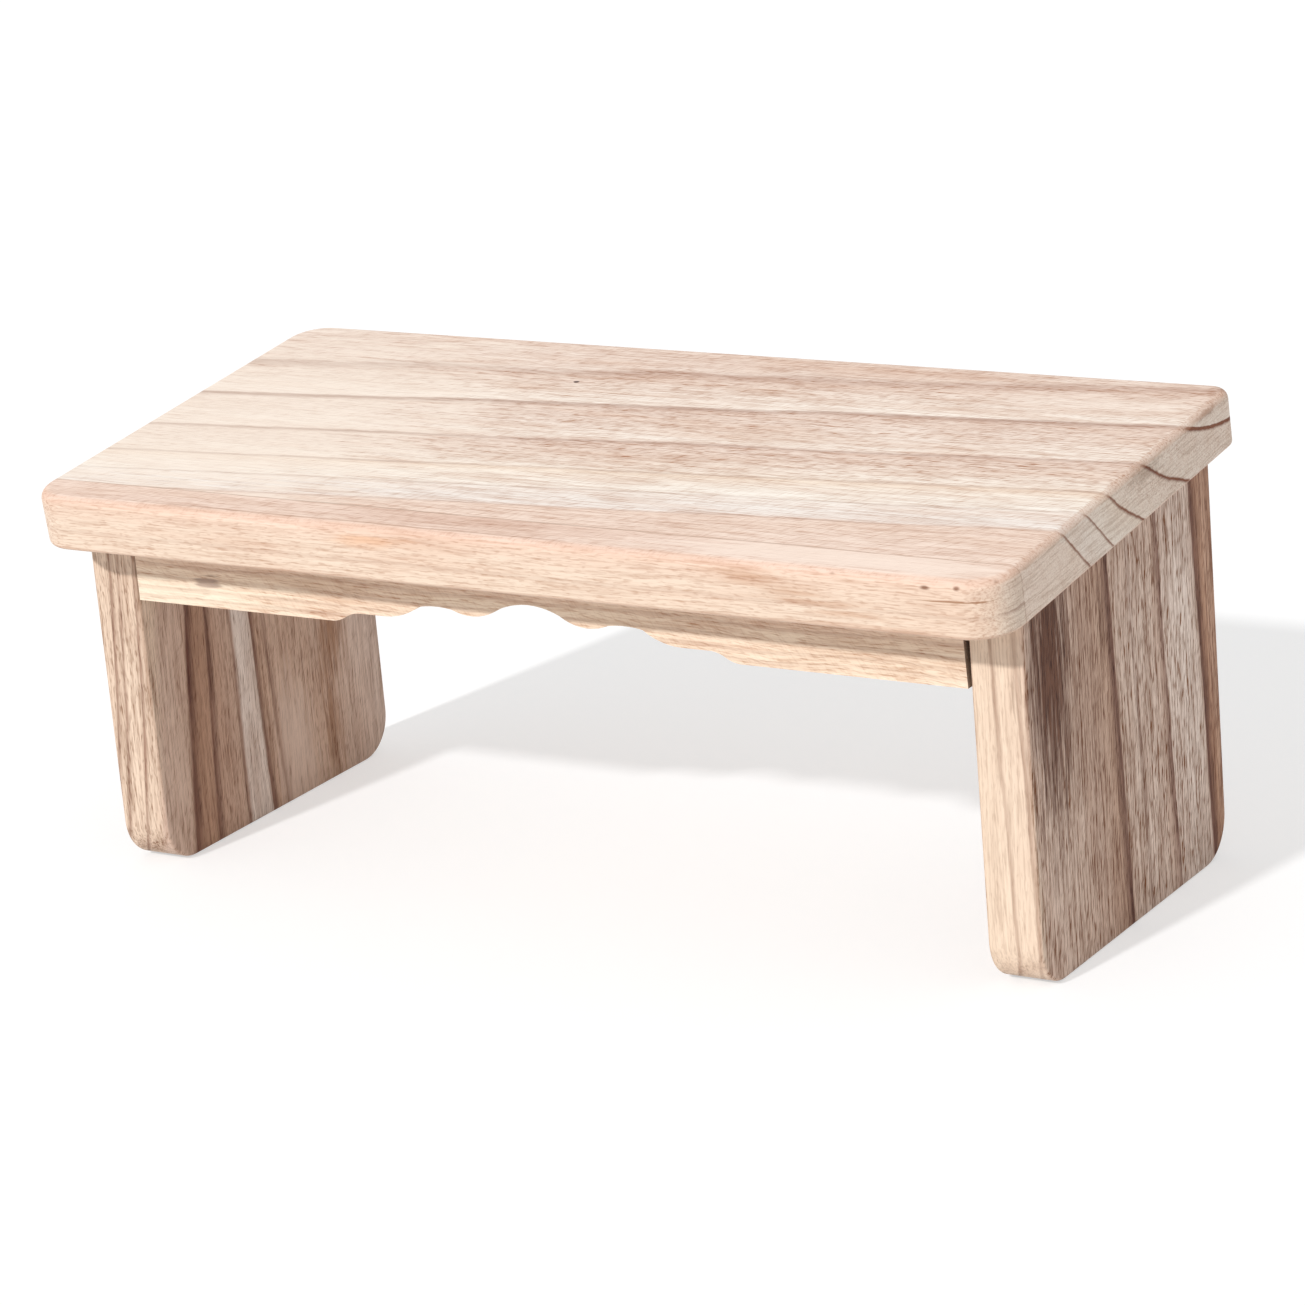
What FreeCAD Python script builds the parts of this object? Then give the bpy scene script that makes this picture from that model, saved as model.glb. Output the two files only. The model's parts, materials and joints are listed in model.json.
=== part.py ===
import FreeCAD, Part
import math
import os

# Folding meditation bench in paulownia wood, in millimetres.
# A sloping seat stands on two upright legs, which fold in under it on butt hinges.
#
# Row frame: X along the seat, Y to the rear, Z up. The origin is on the floor, under the
# middle of the bench's box.
# Seat frame: X is the same, V runs up the slope from the seat's front edge, and W is
# square to the seat's flat underside, where it is 0.
# Depth is the plumb distance under the seat's underside, at the apron's front face.

# Seat: a flat panel of a wide board and a narrow stave, edge glued
seat_length = 440.0
seat_depth = 201.0
seat_thickness = 23.0
seat_slope_deg = 6.1
seat_front_corner_radius = 17.0
seat_rear_left_corner_radius = 16.0
seat_rear_right_corner_radius = 8.0
seat_top_edge_radius = 4.0
seat_bottom_edge_radius = 2.0
front_stave_width = 18.4

# Legs: upright boards whose top ends are cut to the seat's slope
leg_thickness = 22.5
leg_width = 159.0
leg_front_height = 146.8
leg_front_setback = 26.8
leg_end_inset = 6.5
leg_foot_radius = 18.0
leg_edge_radius = 1.5

# Apron: a scalloped board between the legs, flush with their front edges
apron_height = 30.3
apron_thickness = 15.0
apron_left_gap = 0.6
apron_right_gap_top = 2.3
apron_right_gap_bottom = 1.1

# Dowels that hold the apron to the seat
dowel_radius = 3.0
dowel_in_apron = 8.0
dowel_in_seat = 10.0
dowel_end_space = 1.0
dowel_side_offset = 130.0

# Hinge rails: blocks under the seat, one beside each leg
rail_width = 24.0
rail_leg_gap = 1.0
rail_apron_gap = 1.0
rail_rear_inset = 6.0
rail_edge_radius = 1.5

# Butt hinges: two to a leg, three knuckles each
hinge_length = 30.0
leaf_width = 18.0
leaf_thickness = 1.2
leaf_corner_radius = 3.0
knuckle_radius = 2.4
knuckle_face_gap = 0.2
knuckle_turn_gap = 0.3
knuckle_end_gap = 0.3
pin_radius = 1.2
pin_clearance = 0.05
pin_chamfer = 0.3
front_hinge_inset = 57.0
rear_hinge_inset = 37.0

# Leaf screws: two to a leaf, with countersunk heads
leaf_screw_head_radius = 2.7
leaf_screw_shank_radius = 1.4
leaf_screw_length = 14.0
leaf_screw_reach = 11.0
leaf_screw_spacing = 18.0

# Rail screws: three to a rail, with heads sunk into the rail
rail_screw_head_radius = 3.5
rail_screw_head_height = 2.4
rail_screw_shank_radius = 1.75
rail_screw_in_seat = 12.0
rail_counterbore_radius = 4.2
rail_counterbore_depth = 8.0

# Fits that all the screws and dowels share
wood_clearance = 0.05
hole_end_space = 0.5
recess_depth_share = 0.6
recess_arm_share = 0.55
recess_width_share = 0.16

# Values worked out from those above
slope = math.radians(seat_slope_deg)
top_edge = min(seat_top_edge_radius, 0.45 * seat_thickness)
bottom_edge = min(seat_bottom_edge_radius, 0.45 * seat_thickness)
front_y = top_edge * math.cos(slope) - (seat_thickness - top_edge) * math.sin(slope) - top_edge
rear_y = (seat_depth - bottom_edge) * math.cos(slope) - bottom_edge * math.sin(slope) + bottom_edge
seat_origin_y = -(front_y + rear_y) / 2
seat_origin_z = leg_front_height - leg_front_setback * math.sin(slope)
leg_outer_x = seat_length / 2 - leg_end_inset
leg_inner_x = leg_outer_x - leg_thickness
leg_front_y = seat_origin_y + leg_front_setback * math.cos(slope)
leg_rear_v = leg_front_setback + leg_width / math.cos(slope)
apron_bottom_z = leg_front_height - apron_height
apron_back_v = leg_front_setback + apron_thickness / math.cos(slope)
rail_height = (apron_height + apron_thickness * math.tan(slope)) * math.cos(slope)
rail_outer_x = leg_inner_x - rail_leg_gap
rail_middle_x = rail_outer_x - rail_width / 2
rail_front_v = apron_back_v + rail_apron_gap
rail_rear_v = leg_rear_v - rail_rear_inset
pivot_offset = knuckle_radius + knuckle_face_gap
pivot_x = leg_inner_x - pivot_offset
pivot_w = -(rail_height + pivot_offset)
front_hinge_v = leg_front_setback + front_hinge_inset
rear_hinge_v = leg_rear_v - rear_hinge_inset
hinge_places = {"front": front_hinge_v, "rear": rear_hinge_v}
rail_screw_places = (
    (rail_front_v + front_hinge_v - hinge_length / 2) / 2,
    (front_hinge_v + rear_hinge_v) / 2,
    (rear_hinge_v + hinge_length / 2 + rail_rear_v) / 2,
)
dowel_v = leg_front_setback + apron_thickness / 2 / math.cos(slope)
dowel_places = (-dowel_side_offset, 0.0, dowel_side_offset)

# Half of the apron's scalloped edge, from the middle to the side: each row ends a piece of
# the edge, and gives a point that its arc passes through, or None for a straight piece.
# All are (distance from the middle, depth).
scallop_middle_depth = 15.5
scallop_pieces = (
    ((7.5, 16.4), (14.0, 18.6)),
    ((27.0, 22.5), (36.0, 20.6)),
    ((43.5, 20.0), (51.5, 20.8)),
    ((58.0, 24.3), (68.0, 26.2)),
    (None, (80.0, 26.2)),
    ((84.6, 26.9), (87.6, 28.4)),
    ((90.8, 29.8), (95.5, apron_height)),
)


def vector(x, y, z):
    return FreeCAD.Vector(x, y, z)


def block(x_span, y_span, z_span):
    """A box between two values on each axis."""
    size = [high - low for low, high in (x_span, y_span, z_span)]
    return Part.makeBox(*size, vector(x_span[0], y_span[0], z_span[0]))


def to_row(shape):
    """Carry a shape from the seat frame to the row frame."""
    moved = shape.copy()
    moved.rotate(vector(0, 0, 0), vector(1, 0, 0), seat_slope_deg)
    moved.translate(vector(0, seat_origin_y, seat_origin_z))
    return moved


def mirrored(shape):
    """The same shape on the other side of the bench's middle plane."""
    return shape.mirror(vector(0, 0, 0), vector(1, 0, 0))


def fillet_where(shape, radius, wanted):
    """Round the edges whose middle points pass a test."""
    edges = [edge for edge in shape.Edges if wanted(edge)]
    return shape.makeFillet(radius, edges)


def middle_of(edge):
    return edge.valueAt((edge.FirstParameter + edge.LastParameter) / 2)


def runs_along(edge, axis):
    """True for a straight edge along one of the axes X, Y, Z, numbered from 0."""
    span = edge.Vertexes[-1].Point - edge.Vertexes[0].Point
    return span.Length > 0 and abs(abs(span[axis]) - span.Length) < 1e-6


def under_seat():
    """All the space under the seat's underside, to cut tops to the slope."""
    reach = seat_length + seat_depth + leg_front_height
    return to_row(block((-reach, reach), (-reach, 2 * reach), (-2 * reach, 0)))


def turned_profile(points):
    """A solid turned about Z from points given as (radius, height)."""
    corners = [vector(radius, 0, height) for radius, height in points]
    outline = Part.makePolygon(corners + corners[:1])
    return Part.Face(outline).revolve(vector(0, 0, 0), vector(0, 0, 1), 360)


def screw_points(head_radius, head_height, shank_radius, length, grow=0.0):
    """Half outline of a countersunk wood screw, head at 0 and point up, grown all round."""
    tip = 2 * shank_radius
    return [
        (0, 0),
        (head_radius + grow, 0),
        (shank_radius + grow, head_height),
        (shank_radius + grow, length - tip),
        (0.2 * shank_radius + grow, length),
        (0, length),
    ]


def screw(head_radius, head_height, shank_radius, length):
    """A countersunk wood screw with a cross recess, its head at 0 and its point up."""
    body = turned_profile(screw_points(head_radius, head_height, shank_radius, length))
    arm = recess_arm_share * head_radius
    half = recess_width_share * head_radius
    depth = recess_depth_share * head_height
    along_x = block((-arm, arm), (-half, half), (0, depth))
    along_y = block((-half, half), (-arm, arm), (0, depth))
    return body.cut(along_x.fuse(along_y))


def screw_hole(head_radius, head_height, shank_radius, length):
    """The space that such a screw fills, with its clearance all round and past its point."""
    points = screw_points(head_radius, head_height, shank_radius, length, wood_clearance)
    body = turned_profile(points)
    past_point = Part.makeCylinder(shank_radius, hole_end_space + shank_radius, vector(0, 0, length - shank_radius))
    return body.fuse(past_point)


leaf_screw_size = (leaf_screw_head_radius, leaf_thickness, leaf_screw_shank_radius, leaf_screw_length)
rail_screw_size = (
    rail_screw_head_radius,
    rail_screw_head_height,
    rail_screw_shank_radius,
    rail_height - rail_counterbore_depth + rail_screw_in_seat,
)


def in_leaf_places(make):
    """Make a thing at each screw of a leaf, in the hinge's frame, pointing into the rail."""
    things = []
    for along in (-leaf_screw_spacing / 2, leaf_screw_spacing / 2):
        thing = make(*leaf_screw_size)
        thing.translate(vector(-leaf_screw_reach, along, pivot_offset - leaf_thickness))
        things.append(thing)
    return things


def at_hinge(shape, hinge_v):
    """Place a shape from the hinge's frame, where the pin is at 0, on the right rail."""
    placed = shape.copy()
    placed.translate(vector(pivot_x, hinge_v, pivot_w))
    return to_row(placed)


def to_leg_leaf(shape):
    """Turn a seat leaf's shape about the pin, from the rail's bottom to the leg's face."""
    turned = mirrored(shape)
    turned.rotate(vector(0, 0, 0), vector(0, 1, 0), 90)
    return turned


def rail_screws_in_place(make):
    """Make a thing at each screw of the right rail."""
    things = []
    for screw_v in rail_screw_places:
        thing = make(*rail_screw_size)
        thing.translate(vector(rail_middle_x, screw_v, rail_counterbore_depth - rail_height))
        things.append(to_row(thing))
    return things


def dowels_in_place(radius, end_space):
    """The apron's dowels, or with more radius and end space the holes that they sit in."""
    low = -dowel_in_apron - end_space
    length = dowel_in_apron + dowel_in_seat + 2 * end_space
    return [to_row(Part.makeCylinder(radius, length, vector(x, dowel_v, low))) for x in dowel_places]


def seat_panel():
    """The whole seat: round corners in plan, then rounded top and bottom edges."""
    half = seat_length / 2
    slab = block((-half, half), (0, seat_depth), (0, seat_thickness))
    corners = (
        (-half, 0, seat_front_corner_radius),
        (half, 0, seat_front_corner_radius),
        (-half, seat_depth, seat_rear_left_corner_radius),
        (half, seat_depth, seat_rear_right_corner_radius),
    )
    for x, v, radius in corners:
        corner = vector(x, v, seat_thickness / 2)
        slab = fillet_where(slab, radius, lambda edge: (middle_of(edge) - corner).Length < 1e-6)
    for radius, at_z in ((bottom_edge, 0), (top_edge, seat_thickness)):
        slab = fillet_where(slab, radius, lambda edge: abs(middle_of(edge).z - at_z) < 1e-6)
    return slab


def seat_pieces():
    """The seat board and the front stave, parted at the glue line."""
    panel = seat_panel()
    stave_space = block((-seat_length, seat_length), (-seat_depth, front_stave_width), (-seat_depth, seat_depth))
    stave = to_row(panel.common(stave_space))
    board = to_row(panel.cut(stave_space))
    holes = rail_screws_in_place(screw_hole)
    holes += [mirrored(hole) for hole in holes]
    holes += dowels_in_place(dowel_radius + wood_clearance, dowel_end_space)
    return board.cut(Part.makeCompound(holes)), stave


def leg():
    """The right leg: upright board, round corners at the floor, softened edges, sloping top."""
    rear_y = leg_front_y + leg_width
    top_z = leg_front_height + leg_width
    board = block((leg_inner_x, leg_outer_x), (leg_front_y, rear_y), (0, top_z))
    board = fillet_where(board, leg_foot_radius, lambda edge: runs_along(edge, 0) and middle_of(edge).z < 1)
    middle_x = (leg_inner_x + leg_outer_x) / 2
    softened = min(leg_edge_radius, 0.45 * leg_thickness)
    board = fillet_where(board, softened, lambda edge: abs(middle_of(edge).x - middle_x) > 0.49 * leg_thickness)
    board = board.common(under_seat())
    holes = []
    for hinge_v in hinge_places.values():
        holes += [at_hinge(to_leg_leaf(hole), hinge_v) for hole in in_leaf_places(screw_hole)]
    return board.cut(Part.makeCompound(holes))


def scallop_edges():
    """The apron's lower edge from left to right, with its middle part in arcs."""
    def point(distance, depth, side):
        return vector(side * distance, leg_front_y, leg_front_height - depth)

    edges = []
    start = (0.0, scallop_middle_depth)
    for through, end in scallop_pieces:
        for side in (-1, 1):
            first = point(*start, side)
            last = point(*end, side)
            if through is None:
                edges.append(Part.makeLine(first, last))
            else:
                edges.append(Part.Arc(first, point(*through, side), last).toShape())
        start = end
    return edges, start


def apron():
    """The scalloped board, with a tapered gap to the right leg and its top on the slope."""
    edges, (last_distance, last_depth) = scallop_edges()
    top_z = leg_front_height + apron_thickness
    left_x = -leg_inner_x + apron_left_gap
    right_low_x = leg_inner_x - apron_right_gap_bottom
    lean = (apron_right_gap_top - apron_right_gap_bottom) / apron_height
    right_high_x = right_low_x - lean * (top_z - apron_bottom_z)
    last_z = leg_front_height - last_depth
    rest = [
        vector(last_distance, leg_front_y, last_z),
        vector(right_low_x, leg_front_y, apron_bottom_z),
        vector(right_high_x, leg_front_y, top_z),
        vector(left_x, leg_front_y, top_z),
        vector(left_x, leg_front_y, apron_bottom_z),
        vector(-last_distance, leg_front_y, last_z),
    ]
    edges += [Part.makeLine(first, last) for first, last in zip(rest, rest[1:])]
    outline = Part.Wire(Part.__sortEdges__(edges))
    board = Part.Face(outline).extrude(vector(0, apron_thickness, 0)).common(under_seat())
    return board.cut(Part.makeCompound(dowels_in_place(dowel_radius + wood_clearance, dowel_end_space)))


def rail():
    """The right hinge rail, bored for its own screws and for the leaf screws."""
    body = block((rail_outer_x - rail_width, rail_outer_x), (rail_front_v, rail_rear_v), (-rail_height, 0))
    body = fillet_where(body, rail_edge_radius, lambda edge: middle_of(edge).z < -0.9 * rail_height)
    body = to_row(body)
    holes = rail_screws_in_place(screw_hole)
    for screw_v in rail_screw_places:
        base = vector(rail_middle_x, screw_v, -rail_height - hole_end_space)
        depth = rail_counterbore_depth + hole_end_space
        holes.append(to_row(Part.makeCylinder(rail_counterbore_radius, depth, base)))
    for hinge_v in hinge_places.values():
        holes += [at_hinge(hole, hinge_v) for hole in in_leaf_places(screw_hole)]
    return body.cut(Part.makeCompound(holes))


def knuckle_spans(middle_only):
    """Spans along the pin of the middle knuckle, or of the two outer ones."""
    end = hinge_length / 2
    third = hinge_length / 6
    gap = knuckle_end_gap / 2
    if middle_only:
        return [(-third + gap, third - gap)]
    return [(-end, -third - gap), (third + gap, end)]


def along_pin(radius, span):
    """A cylinder about the pin over a span of its length."""
    return Part.makeCylinder(radius, span[1] - span[0], vector(0, span[0], 0), vector(0, 1, 0))


def leaf(middle_only):
    """A hinge leaf as it lies under the rail, in the hinge's frame, with its knuckles."""
    end = hinge_length / 2
    plate = block((-leaf_width, 0), (-end, end), (pivot_offset - leaf_thickness, pivot_offset))
    plate = fillet_where(
        plate,
        leaf_corner_radius,
        lambda edge: runs_along(edge, 2) and middle_of(edge).x < -0.9 * leaf_width,
    )
    for low, high in knuckle_spans(not middle_only):
        room = (low - knuckle_end_gap, high + knuckle_end_gap)
        plate = plate.cut(along_pin(knuckle_radius + knuckle_turn_gap, room))
    for span in knuckle_spans(middle_only):
        plate = plate.fuse(along_pin(knuckle_radius, span))
    bore = along_pin(pin_radius + pin_clearance, (-hinge_length, hinge_length))
    plate = plate.cut(bore)
    return plate.cut(Part.makeCompound(in_leaf_places(screw_hole))).removeSplitter()


def pin():
    """The hinge pin, with a small chamfer at each end."""
    rod = along_pin(pin_radius, (-hinge_length / 2, hinge_length / 2))
    chamfer = min(pin_chamfer, 0.5 * pin_radius)
    return rod.makeChamfer(chamfer, [edge for edge in rod.Edges if edge.Closed])


def right_hand_nodes():
    """The nodes that both sides have, made for the right side, by name after the side."""
    nodes = {"leg": leg(), "hinge_rail": rail()}
    nodes["rail_screws"] = Part.makeCompound(rail_screws_in_place(screw))
    seat_leaf = leaf(middle_only=False)
    leg_leaf = to_leg_leaf(leaf(middle_only=True))
    rail_leaf_screws = []
    leg_leaf_screws = []
    for place, hinge_v in hinge_places.items():
        nodes[place + "_hinge_seat_leaf"] = at_hinge(seat_leaf, hinge_v)
        nodes[place + "_hinge_leg_leaf"] = at_hinge(leg_leaf, hinge_v)
        nodes[place + "_hinge_pin"] = at_hinge(pin(), hinge_v)
        rail_leaf_screws += [at_hinge(one, hinge_v) for one in in_leaf_places(screw)]
        leg_leaf_screws += [at_hinge(to_leg_leaf(one), hinge_v) for one in in_leaf_places(screw)]
    nodes["rail_leaf_screws"] = Part.makeCompound(rail_leaf_screws)
    nodes["leg_leaf_screws"] = Part.makeCompound(leg_leaf_screws)
    return nodes


def all_nodes():
    """Every node of the bench, by name."""
    nodes = {}
    nodes["seat_board"], nodes["seat_front_stave"] = seat_pieces()
    nodes["front_apron"] = apron()
    nodes["apron_dowels"] = Part.makeCompound(dowels_in_place(dowel_radius, 0.0))
    for name, shape in right_hand_nodes().items():
        nodes["right_" + name] = shape
        nodes["left_" + name] = mirrored(shape)
    return nodes


os.makedirs("parts", exist_ok=True)
for node_name, node_shape in all_nodes().items():
    node_shape.exportStep("parts/" + node_name + ".step")
    print(node_name, len(node_shape.Solids), "solids", round(node_shape.Volume, 1), "mm3", node_shape.isValid())
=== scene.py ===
import json
import math

import bpy
from mathutils import Matrix, Vector


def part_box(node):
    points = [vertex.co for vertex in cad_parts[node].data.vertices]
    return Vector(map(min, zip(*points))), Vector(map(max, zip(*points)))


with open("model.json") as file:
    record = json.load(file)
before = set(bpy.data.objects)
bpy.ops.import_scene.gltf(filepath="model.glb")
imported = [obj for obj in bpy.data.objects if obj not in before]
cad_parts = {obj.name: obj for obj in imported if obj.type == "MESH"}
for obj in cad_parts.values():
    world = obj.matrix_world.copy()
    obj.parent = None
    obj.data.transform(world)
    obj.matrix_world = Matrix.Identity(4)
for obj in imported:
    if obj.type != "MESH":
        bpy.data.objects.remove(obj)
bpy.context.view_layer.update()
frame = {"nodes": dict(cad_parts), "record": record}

# The camera stands to the right of the bench's front and a little above the seat, with a long
# lens and a slight roll, as the photograph was taken. Its place is in metres.
camera_place = Vector((0.95094, -1.44098, 0.63238))
camera_aim = Vector((0.00553, 0.00352, 0.08900))
camera_roll_deg = -5.0
camera_lens_mm = 125.25
camera_film_mm = 36
nearest_seen = 0.01

camera = bpy.data.objects.new("photo_camera", bpy.data.cameras.new("photo_camera"))
camera.data.lens = camera_lens_mm
camera.data.sensor_width = camera_film_mm
camera.data.clip_start = nearest_seen
gaze = (camera_aim - camera_place).to_track_quat("-Z", "Y").to_matrix().to_4x4()
roll = Matrix.Rotation(math.radians(camera_roll_deg), 4, "Z")
camera.matrix_world = Matrix.Translation(camera_place) @ gaze @ roll
bpy.context.scene.collection.objects.link(camera)
bpy.context.scene.camera = camera

# Seat board: the wide rear board of the seat, sawn from fast-grown paulownia, planed, rounded
# at the edges and sanded but left without a finish. Its rings are wide and its pores large, so
# each ring starts as a brown streaky band at a thin dark line and pales to cream at the next.
seat_depth_mm = 201.0

seat_top = next(mount for mount in frame["record"]["mounts"] if mount["name"] == "seat_top")
seat_normal = Vector(seat_top["axis"])
seat_slope = math.atan2(-seat_normal.y, seat_normal.z)
up_slope = Vector((0.0, math.cos(seat_slope), math.sin(seat_slope)))
seat_front_top = Vector(seat_top["pos_m"]) - up_slope * (seat_depth_mm / 2000)


def linear(colour):
    """An sRGB hex colour as linear red, green, blue and alpha."""
    parts = [int(colour[place:place + 2], 16) / 255 for place in (1, 3, 5)]
    return [part / 12.92 if part <= 0.04045 else ((part + 0.055) / 1.055) ** 2.4 for part in parts] + [1.0]


def add(tree, kind, inputs, stops=(), **settings):
    """Add a shader node with its settings. Each input is a value or another node's output."""
    new = tree.nodes.new("ShaderNode" + kind)
    for setting, value in settings.items():
        setattr(new, setting, value)
    for socket, value in inputs.items():
        if isinstance(value, bpy.types.NodeSocket):
            tree.links.new(value, new.inputs[socket])
        else:
            new.inputs[socket].default_value = value
    if stops:
        ramp = new.color_ramp.elements
        ramp.remove(ramp[-1])
        ramp[0].position, ramp[0].color = stops[0]
        for place, colour in stops[1:]:
            ramp.new(place).color = colour
    return new


# Lays marks on a colour: the wood's stains, knots and figure, and on the apron also painted shade
def stains_and_painted_shade(tree, place, fringe, colour, marks):
    """Colour with marks laid over it. A mark holds its middle and radii in millimetres, its
    colour and strength, and the share of the radii at which its soft edge begins. The fringe
    is added to the distance from its middle, so that its outline is ragged."""
    for middle, radii, mark_colour, strength, edge in marks:
        shifted = add(tree, "VectorMath", {0: place, 1: middle}, operation="SUBTRACT")
        scaled = add(tree, "VectorMath", {0: shifted.outputs[0], 1: radii}, operation="DIVIDE")
        length = add(tree, "VectorMath", {0: scaled.outputs[0]}, operation="LENGTH")
        ragged = add(tree, "Math", {0: length.outputs["Value"], 1: fringe}, operation="ADD")
        inside = add(tree, "MapRange", {"Value": ragged.outputs[0], "From Min": 1.0, "From Max": edge,
                                        "To Max": strength}, interpolation_type="SMOOTHSTEP")
        colour = add(tree, "Mix", {"Factor": inside.outputs[0], 6: colour, 7: linear(mark_colour)},
                     data_type="RGBA").outputs[2]
    return colour


def paulownia(name, board):
    """Planed and sanded paulownia, drawn through the whole thickness of one board.

    The board's own coordinates are in millimetres: along the grain, across the show face, and
    through the board, 0 on the show face and negative inside. A growth ring is a circle about
    the tree's heart, so what picks a ring is the distance from the heart: the root of across
    squared plus through squared, both counted from the heart, which leans along the board.

    corner, turn, unit and order lay these coordinates on the piece. heart, lean, fan, level and
    sway say where the heart runs, how the rings tilt and spread from one level, and how far they
    wander. A line has its place, darkness and width, and fades forward where the width is
    negative. A tone has its place, colour and share of open pores. The other values are colours,
    and strengths from 0 to 1 of what the plane, the sander and the saw left. marks_under lie
    under the fibres and pores, and marks_over lie over them.
    """
    material = bpy.data.materials.new(name)
    material.use_nodes = True
    tree = material.node_tree
    tree.nodes.clear()
    heart_across, heart_through = board["heart"]

    def ring(across, through):
        return math.hypot(across - heart_across, through - heart_through)

    where = add(tree, "TexCoord", {})
    on_board = add(tree, "Mapping", {"Vector": where.outputs["Object"], "Location": board["corner"],
                                     "Rotation": board["turn"], "Scale": board["unit"]},
                   vector_type="TEXTURE")
    axes = add(tree, "SeparateXYZ", {0: on_board.outputs[0]})
    straight = add(tree, "CombineXYZ", {place: axes.outputs[axis]
                                        for place, axis in enumerate(board["order"])})

    # The grain wanders: a slow sway over about 80 mm, and a ragged edge over about 8 mm
    ragged_mm = 0.35
    bent = straight.outputs[0]
    for length, width, sway in ((80.0, 26.0, board["sway"]), (8.0, 3.0, ragged_mm)):
        cell = add(tree, "Mapping", {"Vector": bent, "Scale": (length, width, width)},
                   vector_type="TEXTURE")
        push = add(tree, "TexNoise", {"Vector": cell.outputs[0], "Scale": 1.0, "Detail": 1.0})
        centred = add(tree, "VectorMath", {0: push.outputs["Color"], 1: (0.5, 0.5, 0.5)},
                      operation="SUBTRACT")
        moved = add(tree, "VectorMath", {0: centred.outputs[0], 1: (0.0, 2 * sway, 2 * sway), 2: bent},
                    operation="MULTIPLY_ADD")
        bent = moved.outputs[0]

    # Distance from the heart, in a tree whose rings lean and spread along the board
    bent_axes = add(tree, "SeparateXYZ", {0: bent})
    along = add(tree, "Math", {0: bent_axes.outputs[0], 1: board["level"]}, operation="SUBTRACT")
    spread = add(tree, "Math", {0: along.outputs[0], 1: board["fan"], 2: 1.0}, operation="MULTIPLY_ADD")
    across = add(tree, "Math", {0: bent_axes.outputs[1], 1: spread.outputs[0]}, operation="MULTIPLY")
    upright = add(tree, "Math", {0: along.outputs[0], 1: -board["lean"], 2: across.outputs[0]},
                  operation="MULTIPLY_ADD")
    from_heart = add(tree, "CombineXYZ", {1: upright.outputs[0], 2: bent_axes.outputs[2]})
    reach = add(tree, "VectorMath", {0: from_heart.outputs[0], 1: (0.0, heart_across, heart_through)},
                operation="DISTANCE")

    # A ring's tone holds its colour, and how many open pores it has as the fourth value. A ring's
    # line is sharp on one side and fades on the other
    sharp_side_mm = 0.5
    core_width, core_darkness = 0.35, 0.75
    tone_rings = sorted((ring(*place), linear(colour)[:3] + [pores])
                        for place, colour, pores in board["tones"])
    line_rings = []
    for place, darkness, fade in board["lines"]:
        start = ring(*place)
        side = math.copysign(1, fade)
        line_rings += [(start - sharp_side_mm * side, 0.0), (start, darkness),
                       (start + core_width * fade, core_darkness * darkness), (start + fade, 0.0)]
    line_rings.sort()
    first = min(tone_rings[0][0], line_rings[0][0]) - 1
    last = max(tone_rings[-1][0], line_rings[-1][0]) + 1

    def on_ramp(value):
        return (value - first) / (last - first)

    share = add(tree, "MapRange", {"Value": reach.outputs["Value"], "From Min": first, "From Max": last})
    tone = add(tree, "ValToRGB", {0: share.outputs[0]},
               stops=[(on_ramp(value), colour) for value, colour in tone_rings])
    line = add(tree, "ValToRGB", {0: share.outputs[0]},
               stops=[(on_ramp(value), (dark, dark, dark, 1.0)) for value, dark in line_rings])
    colour = tone.outputs[0]

    # Sawn ends are told by the way the surface faces, and rounded edges by facing between the
    # show face and the sides
    facing = add(tree, "VectorMath", {0: where.outputs["Normal"]}, operation="ABSOLUTE")
    facing_axes = add(tree, "SeparateXYZ", {0: facing.outputs[0]})
    sawn_end = add(tree, "MapRange", {"Value": facing_axes.outputs[board["order"][0]], "From Min": 0.7,
                                      "From Max": 0.96}, interpolation_type="SMOOTHSTEP")
    show_face = facing_axes.outputs[board["order"][2]]
    on_face = add(tree, "MapRange", {"Value": show_face, "From Min": 0.3, "From Max": 0.8})
    near_face = add(tree, "MapRange", {"Value": show_face, "From Min": 0.97, "From Max": 0.88},
                    interpolation_type="SMOOTHSTEP")
    near_side = add(tree, "MapRange", {"Value": show_face, "From Min": 0.2, "From Max": 0.42,
                                       "To Max": board["burnish"]}, interpolation_type="SMOOTHSTEP")
    arris = add(tree, "Math", {0: near_face.outputs[0], 1: near_side.outputs[0]}, operation="MULTIPLY")

    # How strongly the grain shows on a board's edges, and on its sawn ends, next to its faces
    end_shade = 0.7
    calm_edge = add(tree, "MapRange", {"Value": on_face.outputs[0], "To Min": board["edge_shade"]})
    calm = add(tree, "MapRange", {"Value": sawn_end.outputs[0], "To Min": calm_edge.outputs[0],
                                  "To Max": end_shade})

    # Cloudy toasted patches, drawn out along the grain
    cloud_cell = add(tree, "Mapping", {"Vector": bent, "Scale": (60.0, 8.0, 8.0)}, vector_type="TEXTURE")
    cloud = add(tree, "TexNoise", {"Vector": cloud_cell.outputs[0], "Scale": 1.0, "Detail": 3.0})
    patch = add(tree, "MapRange", {"Value": cloud.outputs[0], "From Min": 0.46, "From Max": 0.70,
                                   "To Max": board["patch"]})
    calm_patch = add(tree, "Math", {0: patch.outputs[0], 1: calm.outputs[0]}, operation="MULTIPLY")
    toasted = add(tree, "Mix", {"Factor": calm_patch.outputs[0], 6: colour, 7: linear(board["toast"])},
                  data_type="RGBA")
    colour = toasted.outputs[2]
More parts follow.
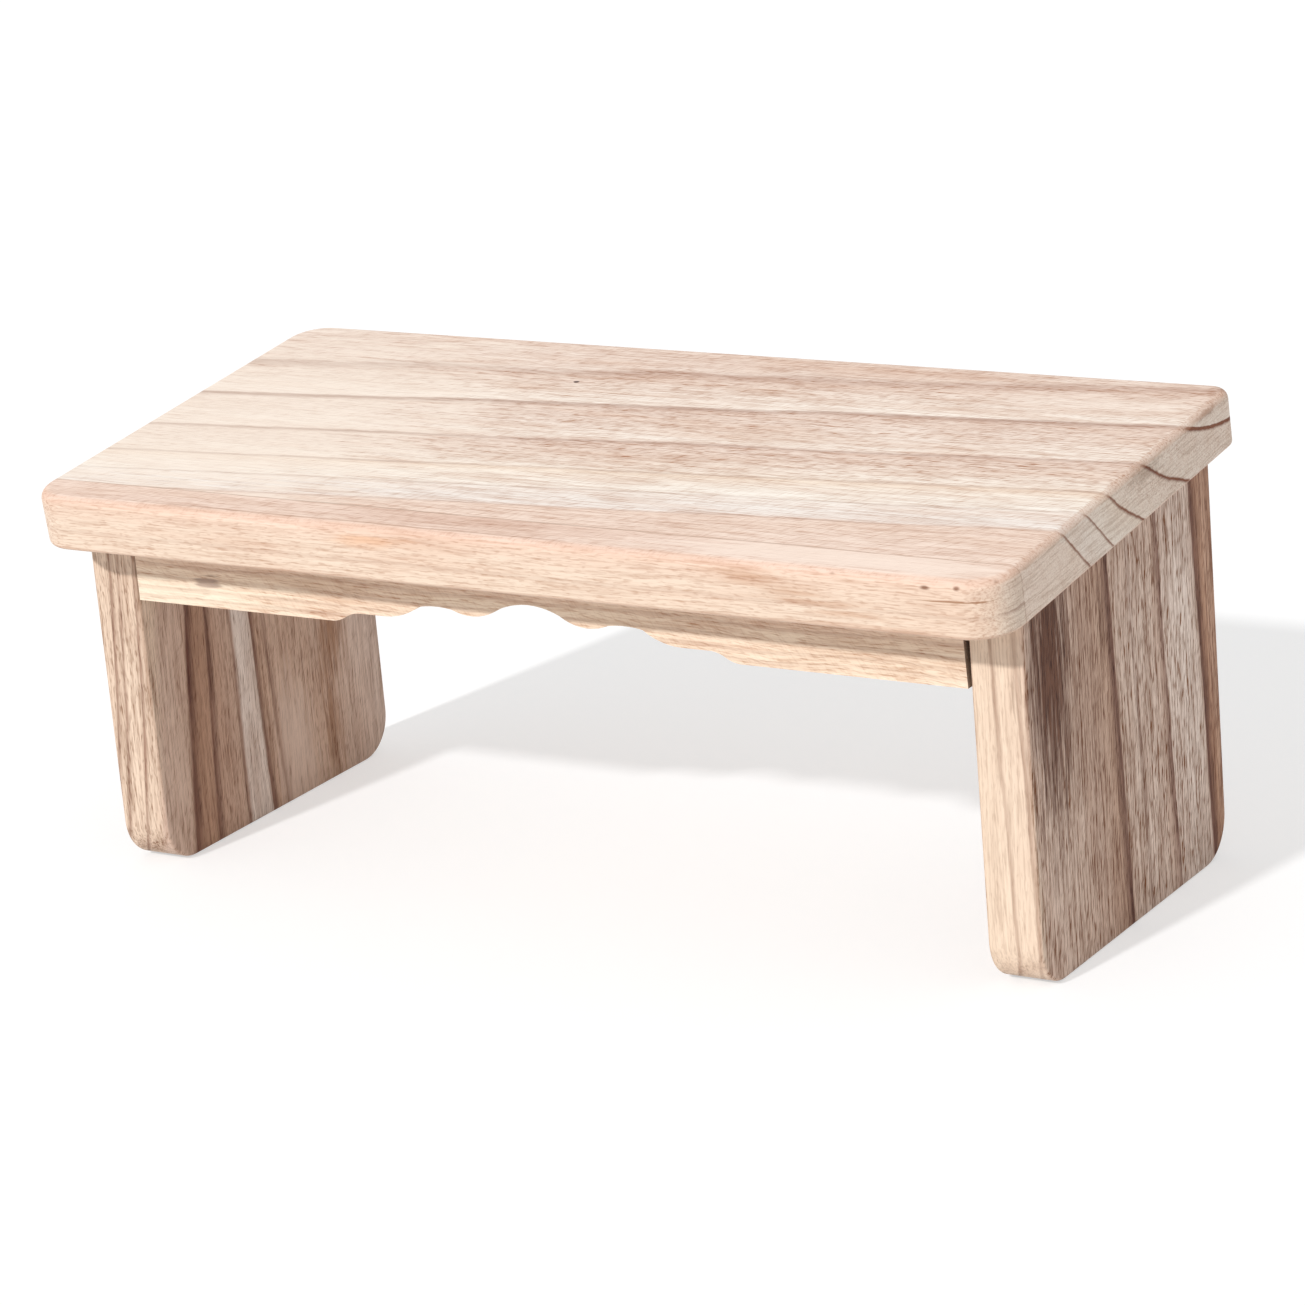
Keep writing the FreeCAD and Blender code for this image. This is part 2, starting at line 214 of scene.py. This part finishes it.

    # Marks that this board alone has: soft stains, small knots and, on the apron, painted shade in the
    # seat's shadow, each an ellipsoid with an outline that follows streaks 25 mm long
    fringe_cell = add(tree, "Mapping", {"Vector": bent, "Scale": (25.0, 2.0, 2.0)}, vector_type="TEXTURE")
    fringe_noise = add(tree, "TexNoise", {"Vector": fringe_cell.outputs[0], "Scale": 1.0, "Detail": 2.0})
    fringe = add(tree, "MapRange", {"Value": fringe_noise.outputs[0], "From Min": 0.3, "From Max": 0.7,
                                    "To Min": -0.3, "To Max": 0.3})
    colour = stains_and_painted_shade(tree, bent, fringe.outputs[0], colour, board["marks_under"])

    # What the plane and the sander leave, by length and width in millimetres, turn from the
    # grain in degrees, the part of the noise that shows, and strength: broad streaks, fibres,
    # cut pores, and sanding scratches across the grain. Real pores and scratches are 0.2 mm
    # wide, and are drawn 0.6 to 0.8 mm wide so that they show
    layers = (
        (70.0, 3.5, 0.0, 3.0, 0.46, 0.68, board["streak"], None),
        (22.0, 0.7, 0.0, 3.0, 0.46, 0.66, board["fibre"], None),
        (6.0, 0.6, 5.0, 1.0, 0.54, 0.66, board["pores"], tone.outputs["Alpha"]),
        (8.0, 0.8, 55.0, 1.0, 0.52, 0.70, board["scratch"], on_face.outputs[0]),
    )
    end_greying_and_painted_shade = 0.65
    shade = None
    for length, width, turn, detail, low, high, strength, where_shown in layers:
        cell = add(tree, "Mapping", {"Vector": bent, "Rotation": (0.0, 0.0, math.radians(turn)),
                                     "Scale": (length, width, width)}, vector_type="TEXTURE")
        grain = add(tree, "TexNoise", {"Vector": cell.outputs[0], "Scale": 1.0, "Detail": detail})
        cut = add(tree, "MapRange", {"Value": grain.outputs[0], "From Min": low, "From Max": high,
                                     "To Max": strength})
        shown = cut.outputs[0]
        if where_shown:
            shown = add(tree, "Math", {0: shown, 1: where_shown}, operation="MULTIPLY").outputs[0]
        if shade:
            shown = add(tree, "Math", {0: shade, 1: shown}, operation="ADD").outputs[0]
        shade = shown
    faded = add(tree, "Math", {0: shade, 1: calm.outputs[0]}, operation="MULTIPLY", use_clamp=True)
    # Sawn ends take the board's end colour: greyer wood on most boards, and on the apron near-black brown,
    # which is painted shade for the dark gap between the apron and each leg
    end_tinted = add(tree, "Math", {0: sawn_end.outputs[0], 1: end_greying_and_painted_shade}, operation="MULTIPLY")
    ended = add(tree, "Mix", {"Factor": end_tinted.outputs[0], 6: colour, 7: linear(board["end_colour"])},
                data_type="RGBA")
    shaded = add(tree, "Mix", {"Factor": faded.outputs[0], 6: ended.outputs[2],
                               7: linear(board["pore_colour"])}, data_type="RGBA", blend_type="MULTIPLY")
    planed = stains_and_painted_shade(tree, bent, fringe.outputs[0], shaded.outputs[2], board["marks_over"])

    # The saw leaves faint marks on the ends, parallel to the show face and 0.7 mm apart
    saw_strength = 0.5
    saw_cell = add(tree, "Mapping", {"Vector": bent, "Scale": (3.0, 16.0, 0.7)}, vector_type="TEXTURE")
    saw = add(tree, "TexNoise", {"Vector": saw_cell.outputs[0], "Scale": 1.0, "Detail": 2.0})
    saw_cut = add(tree, "MapRange", {"Value": saw.outputs[0], "From Min": 0.45, "From Max": 0.68,
                                     "To Max": saw_strength})
    saw_shown = add(tree, "Math", {0: saw_cut.outputs[0], 1: sawn_end.outputs[0]}, operation="MULTIPLY")
    sawn = add(tree, "Mix", {"Factor": saw_shown.outputs[0], 6: planed, 7: linear("#C4B3A4")},
               data_type="RGBA", blend_type="MULTIPLY")

    # Ring lines come and go along the board, and show darkest on the sawn ends
    come_and_go = add(tree, "MapRange", {"Value": cloud.outputs[0], "From Min": 0.35, "From Max": 0.65,
                                         "To Min": 0.65, "To Max": 1.1})
    at_end = add(tree, "Math", {0: sawn_end.outputs[0], 1: board["end_lines"], 2: come_and_go.outputs[0]},
                 operation="MULTIPLY_ADD")
    line_shown = add(tree, "Math", {0: line.outputs[0], 1: at_end.outputs[0]}, operation="MULTIPLY",
                     use_clamp=True)
    lined = add(tree, "Mix", {"Factor": line_shown.outputs[0], 6: sawn.outputs[2],
                              7: linear(board["line_colour"])}, data_type="RGBA", blend_type="MULTIPLY")

    # Rounded edges are burnished a little darker than the faces
    rubbed = add(tree, "Mix", {"Factor": arris.outputs[0], 6: lined.outputs[2], 7: linear(board["rubbed"])},
                 data_type="RGBA")

    # Lines and pores lie a little low, and bare wood is duller where its pores are open
    groove_depth = 0.0004
    ridge = add(tree, "Math", {0: line_shown.outputs[0], 1: 0.5, 2: faded.outputs[0]},
                operation="MULTIPLY_ADD")
    relief = add(tree, "Bump", {"Height": ridge.outputs[0], "Strength": 0.4, "Distance": groove_depth},
                 invert=True)
    rough = add(tree, "MapRange", {"Value": faded.outputs[0], "From Max": 1.0, "To Min": 0.56,
                                   "To Max": 0.78})
    skin = add(tree, "BsdfPrincipled", {"Base Color": rubbed.outputs[2], "Roughness": rough.outputs[0],
                                        "Specular IOR Level": 0.3, "Normal": relief.outputs[0]})
    add(tree, "OutputMaterial", {"Surface": skin.outputs[0]})
    return material


def dress(nodes, material):
    """Give CAD nodes a material in all their slots."""
    for node in nodes:
        for slot in frame["nodes"][node].material_slots:
            slot.material = material


# Each place on the board is (across, through): a ring line on the top is at its distance from
# the seat's front edge, measured at the right end
seat_board = {
    "corner": seat_front_top, "turn": (seat_slope, 0.0, 0.0), "unit": (0.001, 0.001, 0.001),
    "order": (0, 1, 2), "heart": (216.0, 127.0), "lean": 0.083, "fan": 0.0, "level": 220.0, "sway": 1.3,
    "lines": [
        ((191.6, 0.0), 0.3, 1.5), ((156.0, 0.0), 0.5, 1.8), ((118.0, 0.0), 0.4, 1.6),
        ((89.0, 0.0), 0.35, 1.4), ((69.0, 0.0), 0.3, 1.0), ((51.0, 0.0), 0.32, 1.0),
    ],
    "tones": [
        ((201.0, 0.0), "#F3E0D2", 0.6), ((192.5, 0.0), "#F7E7DA", 0.5), ((190.5, 0.0), "#EDD5C5", 1.0),
        ((176.0, 0.0), "#F5E4D6", 0.9), ((160.0, 0.0), "#FEF3E7", 0.3), ((157.0, 0.0), "#FEF3E7", 0.2),
        ((154.5, 0.0), "#EDD7C8", 1.0), ((138.0, 0.0), "#F7E7DA", 0.9), ((121.0, 0.0), "#FEF3E7", 0.4),
        ((116.5, 0.0), "#EED8C9", 1.0), ((104.0, 0.0), "#F6E5D7", 1.0), ((91.0, 0.0), "#FEF3E6", 0.5),
        ((87.0, 0.0), "#FAE8D5", 0.3), ((80.0, 0.0), "#FFF5E8", 0.2), ((70.0, 0.0), "#FFF7EC", 0.1),
        ((67.0, 0.0), "#FCF2E8", 0.2), ((60.0, 0.0), "#FAF2EA", 0.2), ((52.5, 0.0), "#F9F0E8", 0.3),
        ((50.5, 0.0), "#F7E1D1", 0.4), ((20.0, 0.0), "#FAE5D6", 0.3),
    ],
    "toast": "#E3C2AB", "patch": 0.4, "pore_colour": "#AB7446", "line_colour": "#8E5836", "end_lines": 2.4,
    "streak": 0.16, "fibre": 0.36, "pores": 0.5, "scratch": 0.2, "burnish": 0.3, "rubbed": "#D3A88E",
    "edge_shade": 1.0, "end_colour": "#E6D6C6",
    # Browner wood in the middle of the top, and one pale spot on the right end
    "marks_under": [
        ((70.0, 190.0, 0.0), (110.0, 12.0, 9.0), "#DBB59C", 0.4, 0.1),
        ((60.0, 118.0, 0.0), (95.0, 14.0, 9.0), "#E0BDA4", 0.35, 0.1),
        ((20.0, 84.0, 0.0), (90.0, 12.0, 9.0), "#E0BDA4", 0.3, 0.1),
        ((220.0, 53.0, -3.4), (4.0, 4.5, 2.6), "#F4EEE6", 0.8, 0.3),
    ],
    # Paler wood at the left and rear right, the glue line, a pin knot and two stains on the right end
    "marks_over": [
        ((-175.0, 95.0, 0.0), (150.0, 150.0, 12.0), "#FAEBDC", 0.7, 0.3),
        ((175.0, 172.0, 0.0), (60.0, 14.0, 6.0), "#FBEBDD", 0.5, 0.2),
        ((0.0, 18.4, 0.0), (400.0, 0.6, 90.0), "#A9876F", 0.5, 0.5),
        ((-53.6, 157.3, 0.0), (1.7, 1.5, 1.5), "#4A332B", 0.95, 0.55),
        ((219.0, 176.0, -2.2), (5.0, 11.0, 1.5), "#A3826E", 0.75, 0.3),
        ((219.0, 120.0, -5.0), (4.0, 20.0, 5.0), "#A08772", 0.5, 0.2),
    ],
}
dress(["seat_board"], paulownia("sanded_paulownia_seat", seat_board))

# Front stave: a narrow strip of the same wood, glued along the seat's front edge. Its rings lie
# flat, so its front face is plain peach with fine flecks, and browner figure near the right.
stave_board = dict(
    seat_board,
    heart=(9.0, 110.0), lean=0.0, sway=0.8,
    lines=[((9.0, -26.0), 0.2, 2.0), ((9.0, -14.0), 0.15, 2.0)],
    tones=[((9.0, -30.0), "#EBD6C1", 0.4), ((9.0, -10.0), "#EAD4C0", 0.4), ((9.0, -3.5), "#EAD0BC", 0.4),
           ((9.0, -1.0), "#F5DCCC", 0.3), ((9.0, 1.0), "#F8E1D1", 0.3)],
    streak=0.12, fibre=0.28, pores=0.6, burnish=0.3,
    # A browner top and right, a flame that runs down to the right, and an orange spot
    marks_under=[
        ((-15.0, 15.0, 0.0), (95.0, 14.0, 2.5), "#D9B49F", 0.5, 0.2),
        ((178.0, 0.0, -8.0), (52.0, 3.5, 15.0), "#E6CAB4", 0.25, 0.5),
        ((112.0, 0.0, -3.5), (26.0, 3.0, 3.4), "#C39473", 0.45, 0.0),
        ((124.0, 0.0, -6.8), (24.0, 3.0, 3.2), "#C39473", 0.45, 0.0),
        ((135.0, 0.0, -10.2), (22.0, 3.0, 3.0), "#C39473", 0.45, 0.0),
        ((146.0, 0.0, -13.6), (22.0, 3.0, 2.8), "#C39473", 0.45, 0.0),
        ((160.0, 0.0, -16.8), (28.0, 3.0, 2.4), "#C39473", 0.45, 0.0),
        ((168.0, 0.0, -21.5), (50.0, 5.0, 2.4), "#C4967A", 0.35, 0.2),
        ((-48.0, 0.0, -6.0), (26.0, 3.0, 3.5), "#F2B888", 0.4, 0.1),
        ((-70.0, 4.0, 0.0), (150.0, 0.7, 2.0), "#B98F74", 0.6, 0.3),
    ],
    # A paler top at the right, the glue line, a line round the corner and four pin knots
    marks_over=[
        ((150.0, 11.0, 0.0), (105.0, 11.0, 2.4), "#FBE7D8", 0.75, 0.4),
        ((0.0, 18.4, 0.0), (400.0, 0.6, 90.0), "#A9876F", 0.5, 0.5),
        ((202.0, 0.0, -8.0), (24.0, 24.0, 0.55), "#9A6A48", 0.8, 0.4),
        ((153.0, 0.0, -1.0), (2.2, 2.0, 1.2), "#7A4E36", 0.85, 0.3),
        ((191.0, 0.0, -3.0), (2.8, 2.0, 1.3), "#7A4E36", 0.85, 0.3),
        ((203.5, 0.5, -2.6), (2.0, 2.0, 1.3), "#7A4E36", 0.85, 0.3),
        ((217.0, 7.0, -1.0), (2.0, 2.0, 1.6), "#7A4E36", 0.8, 0.3),
    ],
)
dress(["seat_front_stave"], paulownia("sanded_paulownia_stave", stave_board))

# Apron: a thin paulownia board, fixed under the seat between the legs and flush with their
# front edges. Its lower edge is sawn to a shallow wavy scallop and rounded by hand. It holds one
# small grey knot at the left and wavy figure beside it.
apron_low, apron_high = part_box("front_apron")
apron_board = dict(
    seat_board,
    corner=Vector((0.0, apron_low.y, apron_high.z)), turn=(0.0, 0.0, 0.0), unit=(0.001, -0.001, -0.001),
    order=(0, 2, 1), heart=(-60.0, -40.0), lean=0.0, level=0.0, sway=2.4,
    lines=[((place, 0.0), dark, 1.6) for place, dark in (
        (6.0, 0.2), (10.5, 0.25), (15.5, 0.3), (20.5, 0.25), (25.0, 0.25), (28.5, 0.25))],
    # The tones run darker in the upper band, where the seat's shadow falls: partly the wood's own colour,
    # partly painted shade
    tones=[((0.0, 0.0), "#EBD0BB", 0.5), ((12.0, 0.0), "#E8CCB6", 0.5), ((18.0, 0.0), "#F3DEC6", 0.5),
           ((31.0, 0.0), "#F6E2CB", 0.5)],
    # The apron's end colour is painted shade: near-black brown for the narrow dark gap beside each leg
    streak=0.16, fibre=0.3, pores=0.6, scratch=0.1, burnish=0.25, end_colour="#4A2E20", end_lines=-0.8,
    # A browner upper left, partly brown wood and partly painted shade that deepens the seat's shadow there,
    # wavy figure beside the knot and a browner right
    marks_under=[
        ((-150.0, 8.0, 0.0), (90.0, 7.0, 6.0), "#C9A68C", 0.5, 0.3),
        ((-104.0, 17.5, 0.0), (38.0, 3.0, 6.0), "#B88C6C", 0.5, 0.1),
        ((-90.0, 23.0, 0.0), (30.0, 1.6, 6.0), "#C59878", 0.5, 0.1),
        ((150.0, 24.0, 0.0), (55.0, 9.0, 6.0), "#D9BBA2", 0.4, 0.2),
    ],
    # A creamy lower left, and the grey knot with the brown line over it
    marks_over=[
        ((-170.0, 27.0, 0.0), (70.0, 8.0, 6.0), "#F8ECD6", 0.5, 0.3),
        ((-155.0, 21.5, 0.0), (7.5, 3.2, 5.0), "#A3897B", 0.75, 0.5),
        ((-153.0, 18.6, 0.0), (7.0, 1.0, 5.0), "#8A6650", 0.8, 0.2),
    ],
)
dress(["front_apron"], paulownia("sanded_paulownia_apron", apron_board))

# Apron dowels: three turned beech pins, glued into the apron's top edge and the seat. Beech is
# pinkish tan, with dark ray flecks a few millimetres long and under half a millimetre wide.
fleck_width = 0.0004
fleck_length = 0.0025

beech = bpy.data.materials.new("turned_beech")
beech.use_nodes = True
tree = beech.node_tree
tree.nodes.clear()
where = add(tree, "TexCoord", {})
fleck_cell = add(tree, "Mapping", {"Vector": where.outputs["Object"],
                                   "Scale": (fleck_width, fleck_width, fleck_length)}, vector_type="TEXTURE")
fleck = add(tree, "TexNoise", {"Vector": fleck_cell.outputs[0], "Scale": 1.0, "Detail": 1.0})
fleck_shown = add(tree, "MapRange", {"Value": fleck.outputs[0], "From Min": 0.52, "From Max": 0.68,
                                     "To Max": 0.6})
beech_colour = add(tree, "Mix", {"Factor": fleck_shown.outputs[0], 6: linear("#DDBA94"),
                                 7: linear("#A87B55")}, data_type="RGBA")
turned = add(tree, "Bump", {"Height": fleck_shown.outputs[0], "Strength": 0.3, "Distance": 0.0001},
             invert=True)
skin = add(tree, "BsdfPrincipled", {"Base Color": beech_colour.outputs[2], "Roughness": 0.55,
                                    "Specular IOR Level": 0.3, "Normal": turned.outputs[0]})
add(tree, "OutputMaterial", {"Surface": skin.outputs[0]})
dress(["apron_dowels"], beech)

# Hinge rails: two paulownia blocks glued and screwed up under the seat, one beside each leg,
# planed and left without a finish, with three counterbored screw holes along the middle. Their
# wood is plainer than the seat's, with even rings about 9 mm apart.
rail_board = dict(
    seat_board,
    order=(1, 0, 2), heart=(0.0, 60.0), lean=0.02, level=100.0, sway=1.2,
    lines=[((170.0, -40.0), 0.35, 2.0), ((178.0, -40.0), 0.3, 2.0), ((188.0, -40.0), 0.35, 2.0)],
    tones=[((160.0, -40.0), "#EAD3BF", 0.8), ((169.0, -40.0), "#F4E1CF", 0.5),
           ((171.0, -40.0), "#E0C3AD", 0.8), ((177.0, -40.0), "#F2DDCA", 0.6),
           ((179.0, -40.0), "#DFC2AC", 0.8), ((187.0, -40.0), "#F0DAC7", 0.6),
           ((189.0, -40.0), "#DDBFA8", 0.8)],
    streak=0.25, fibre=0.4, pores=0.6, scratch=0.15, burnish=0.2, end_lines=0.6,
    marks_under=[], marks_over=[],
)
dress(["left_hinge_rail", "right_hinge_rail"], paulownia("sanded_paulownia_rail", rail_board))


def plated_steel(name, bright, dull, line_mm, run_mm, polish):
    """Steel, cloudy over about 5 mm, with the lines of its rolling or drawing showing through.
    Colour and roughness follow clouds plus lines, and height follows the lines."""
    cloud_size = 0.005
    lines_share = 0.45
    rough_span = 0.16
    material = bpy.data.materials.new(name)
    material.use_nodes = True
    tree = material.node_tree
    tree.nodes.clear()
    where = add(tree, "TexCoord", {})
    lines_cell = add(tree, "Mapping", {"Vector": where.outputs["Object"], "Rotation": (seat_slope, 0.0, 0.0),
                                       "Scale": (line_mm / 1000, run_mm / 1000, line_mm / 1000)},
                     vector_type="TEXTURE")
    lines = add(tree, "TexNoise", {"Vector": lines_cell.outputs[0], "Scale": 1.0, "Detail": 2.0})
    cloud_cell = add(tree, "Mapping", {"Vector": where.outputs["Object"],
                                       "Scale": (cloud_size, cloud_size, cloud_size)}, vector_type="TEXTURE")
    cloud = add(tree, "TexNoise", {"Vector": cloud_cell.outputs[0], "Scale": 1.0, "Detail": 3.0})
    wear = add(tree, "Mix", {"Factor": lines_share, 2: cloud.outputs[0], 3: lines.outputs[0]})
    share = add(tree, "MapRange", {"Value": wear.outputs[0], "From Min": 0.38, "From Max": 0.62})
    colour = add(tree, "Mix", {"Factor": share.outputs[0], 6: linear(bright), 7: linear(dull)},
                 data_type="RGBA")
    rough = add(tree, "MapRange", {"Value": share.outputs[0], "To Min": polish,
                                   "To Max": polish + rough_span})
    relief = add(tree, "Bump", {"Height": lines.outputs[0], "Strength": 0.25, "Distance": 0.00005})
    skin = add(tree, "BsdfPrincipled", {"Base Color": colour.outputs[2], "Metallic": 1.0,
                                        "Roughness": rough.outputs[0], "Normal": relief.outputs[0]})
    add(tree, "OutputMaterial", {"Surface": skin.outputs[0]})
    return material


# Rail screws and hinge screws: steel wood screws with cross recesses, zinc plated with a faint
# yellow passivation. The threads are cut in the wood and don't show.
screw_steel = plated_steel("yellow_zinc_plated_screws", "#C6BC9C", "#8F8464", 0.25, 2.0, 0.3)
dress([node for node in frame["nodes"] if node.endswith("_screws")], screw_steel)

# Butt hinges: two to a leg, pressed from 1.2 mm zinc plated steel strip and rolled round a pin.
# Rolled strip shows fine lines along the knuckles under cloudy satin plating. The lines are
# 0.1 mm apart, and are drawn 0.35 mm apart so that they show.
leaf_steel = plated_steel("zinc_plated_strip", "#B9BBBA", "#828480", 0.35, 9.0, 0.34)
dress([node for node in frame["nodes"] if node.endswith("_leaf")], leaf_steel)

# Hinge pins: drawn steel wire, brighter than the leaves, with lines along the wire. Each runs
# through the knuckles of both leaves of its hinge.
pin_steel = plated_steel("drawn_wire", "#C9C9C5", "#96958F", 0.15, 12.0, 0.24)
dress([node for node in frame["nodes"] if node.endswith("_pin")], pin_steel)

# Right leg: a browner paulownia board on edge, its foot rounded and its top cut to the seat's
# slope. It is scorched darkest behind its front edge, and its wide rings run up the outer face.
leg_low, leg_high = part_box("right_leg")
right_leg_board = dict(
    seat_board,
    corner=Vector((leg_high.x, leg_low.y, 0.0)), turn=(0.0, 0.0, 0.0), unit=(0.001, 0.001, 0.001),
    order=(2, 1, 0), heart=(-30.0, -60.0), lean=-0.05, level=75.0, sway=1.2,
    lines=[((0.0, -11.5), 0.6, 1.4), ((0.0, -2.6), 0.6, 1.4),
           ((72.5, 0.0), 0.9, -6.0), ((87.0, 0.0), 0.45, 3.0), ((114.0, 0.0), 0.8, -5.0),
           ((143.5, 0.0), 1.0, 6.0)],
    tones=[((0.0, -22.0), "#EAD3BC", 0.5), ((0.0, -1.0), "#E9D1BB", 0.5), ((3.0, 0.0), "#E0C5B3", 0.7),
           ((18.0, 0.0), "#E4CBBA", 0.7), ((34.0, 0.0), "#E2C8B6", 0.7), ((50.0, 0.0), "#DBBEAB", 0.7),
           ((62.0, 0.0), "#CFAE98", 0.7), ((71.0, 0.0), "#C29D85", 0.7), ((74.0, 0.0), "#E0C6B4", 0.8),
           ((92.0, 0.0), "#EAD3C3", 0.9), ((105.0, 0.0), "#E6CDBC", 1.0), ((112.5, 0.0), "#DCBDA9", 0.9),
           ((115.5, 0.0), "#F5E1D3", 1.0), ((133.0, 0.0), "#F6E4D7", 0.9), ((142.0, 0.0), "#ECD6C7", 0.7),
           ((145.0, 0.0), "#B98A6C", 0.5), ((151.0, 0.0), "#C2967A", 0.4), ((154.0, 0.0), "#D0A88E", 0.6),
           ((159.0, 0.0), "#BC9075", 0.6)],
    toast="#B58E76", patch=0.45, pore_colour="#815528", line_colour="#80471A", end_lines=0.2,
    streak=0.3, fibre=0.65, pores=0.75, scratch=0.1, burnish=0.15, edge_shade=0.35,
    # The scorched wood high behind the front edge, fading down and to the rear
    marks_under=[
        ((130.0, 19.0, 0.0), (95.0, 24.0, 9.0), "#6B3F24", 1.0, 0.2),
        ((105.0, 48.0, 0.0), (70.0, 22.0, 9.0), "#A9826A", 0.5, 0.1),
        ((128.0, 62.0, 0.0), (24.0, 6.0, 9.0), "#93705A", 0.5, 0.1),
    ],
    marks_over=[],
)
dress(["right_leg"], paulownia("sanded_paulownia_right_leg", right_leg_board))

# Left leg: the right leg's twin in the same wood, hinged to its rail in the same way. Its rings
# are narrower and spread toward the foot, and one of them is bleached nearly white.
left_leg_board = dict(
    right_leg_board,
    corner=Vector((-leg_low.x, leg_low.y, 0.0)),
    lean=0.16, fan=0.00265, level=50.0,
    lines=[((0.0, -20.2), 0.75, 1.5), ((0.0, -15.5), 0.75, 1.6), ((0.0, -7.0), 0.75, 1.6),
           ((22.5, 0.0), 1.0, 4.0), ((37.0, 0.0), 1.0, 3.5), ((55.5, 0.0), 0.7, 2.0),
           ((71.0, 0.0), 0.9, 3.0), ((79.5, 0.0), 0.7, 2.2)],
    tones=[((0.0, -22.0), "#E9D1BB", 0.6), ((0.0, -1.0), "#E4CCB6", 0.6), ((4.0, 0.0), "#DABFAD", 0.5),
           ((20.0, 0.0), "#D6BAA7", 0.6), ((24.0, 0.0), "#B1896F", 0.6), ((36.0, 0.0), "#BC967D", 0.6),
           ((40.0, 0.0), "#C3A08A", 0.7), ((56.0, 0.0), "#D3B5A1", 0.7), ((58.0, 0.0), "#EDDED3", 0.6),
           ((69.5, 0.0), "#EDDED3", 0.6), ((72.0, 0.0), "#C9A78F", 0.7), ((82.0, 0.0), "#D3B5A0", 0.7),
           ((110.0, 0.0), "#D3B5A0", 0.7), ((140.0, 0.0), "#E2CABA", 0.4), ((159.0, 0.0), "#E6D1C3", 0.3)],
    patch=0.35, streak=0.25, fibre=0.34, pores=0.55, edge_shade=1.1,
    # A brown streak from the top to the foot, with paler wood beside it at the foot
    marks_under=[
        ((85.0, 124.0, 0.0), (75.0, 13.0, 9.0), "#A0724F", 0.85, 0.0),
        ((25.0, 119.0, 0.0), (55.0, 8.0, 9.0), "#A0724F", 0.7, 0.0),
    ],
    marks_over=[((20.0, 92.0, 0.0), (50.0, 19.0, 9.0), "#E0C8B8", 0.6, 0.2)],
)
dress(["left_leg"], paulownia("sanded_paulownia_left_leg", left_leg_board))

# Floor: matt white paper under the bench. The camera sees it lifted nearly to white with the
# bench's soft shadow left in it, and from below it lets the underside be seen.
floor_size = 6.0
floor_lift = 0.5


def seen_ray(tree):
    """1 for rays from the camera, from a mirror and through glass, and 0 for the others."""
    ray = add(tree, "LightPath", {})
    mirrored = add(tree, "Math", {0: ray.outputs["Is Glossy Ray"], 1: ray.outputs["Is Transmission Ray"]},
                   operation="MAXIMUM")
    seen = add(tree, "Math", {0: ray.outputs["Is Camera Ray"], 1: mirrored.outputs[0]},
               operation="MAXIMUM")
    return seen.outputs[0]


half = floor_size / 2
floor_mesh = bpy.data.meshes.new("floor")
floor_mesh.from_pydata([(-half, -half, 0), (half, -half, 0), (half, half, 0), (-half, half, 0)], [],
                       [(0, 1, 2, 3)])
floor = bpy.data.objects.new("floor", floor_mesh)
bpy.context.scene.collection.objects.link(floor)
floor_paint = bpy.data.materials.new("matt_white_paper")
floor_paint.use_nodes = True
tree = floor_paint.node_tree
tree.nodes.clear()
paper = add(tree, "BsdfDiffuse", {"Color": linear("#F2F2F2")})
paper_seen = add(tree, "BsdfDiffuse", {"Color": linear("#C4C4C4")})
lift = add(tree, "Emission", {"Color": (1, 1, 1, 1), "Strength": floor_lift})
lifted = add(tree, "AddShader", {0: paper_seen.outputs[0], 1: lift.outputs[0]})
from_above = add(tree, "MixShader", {0: seen_ray(tree), 1: paper.outputs[0], 2: lifted.outputs[0]})
face = add(tree, "NewGeometry", {})
from_below = add(tree, "BsdfTransparent", {})
both = add(tree, "MixShader", {0: face.outputs["Backfacing"], 1: from_above.outputs[0],
                               2: from_below.outputs[0]})
add(tree, "OutputMaterial", {"Surface": both.outputs[0]})
floor.data.materials.append(floor_paint)

# Studio light: an even white surround, seen as plain white and dimmer as a light, so that a
# colour renders about as it is written.
surround_strength = 0.6

world = bpy.data.worlds.new("studio")
bpy.context.scene.world = world
world.use_nodes = True
tree = world.node_tree
tree.nodes.clear()
surround = add(tree, "Background", {"Color": (1, 1, 1, 1), "Strength": surround_strength})
white = add(tree, "Background", {"Color": (1, 1, 1, 1), "Strength": 1.0})
mixed = add(tree, "MixShader", {0: seen_ray(tree), 1: surround.outputs[0], 2: white.outputs[0]})
add(tree, "OutputWorld", {"Surface": mixed.outputs[0]})

# Front lamp: one soft lamp high in front of the bench and a little to the left, which puts the
# seat's shadow on the upper half of the apron.
sun_strength = 2.15
sun_height_deg = 34.5
sun_from_left_deg = 10.0
sun_softness_deg = 3.0

sun = bpy.data.objects.new("front_lamp", bpy.data.lights.new("front_lamp", "SUN"))
sun.data.energy = sun_strength
sun.data.angle = math.radians(sun_softness_deg)
sun.rotation_euler = (math.radians(90 - sun_height_deg), 0.0, math.radians(-sun_from_left_deg))
bpy.context.scene.collection.objects.link(sun)

bpy.context.scene.view_settings.view_transform = "Standard"
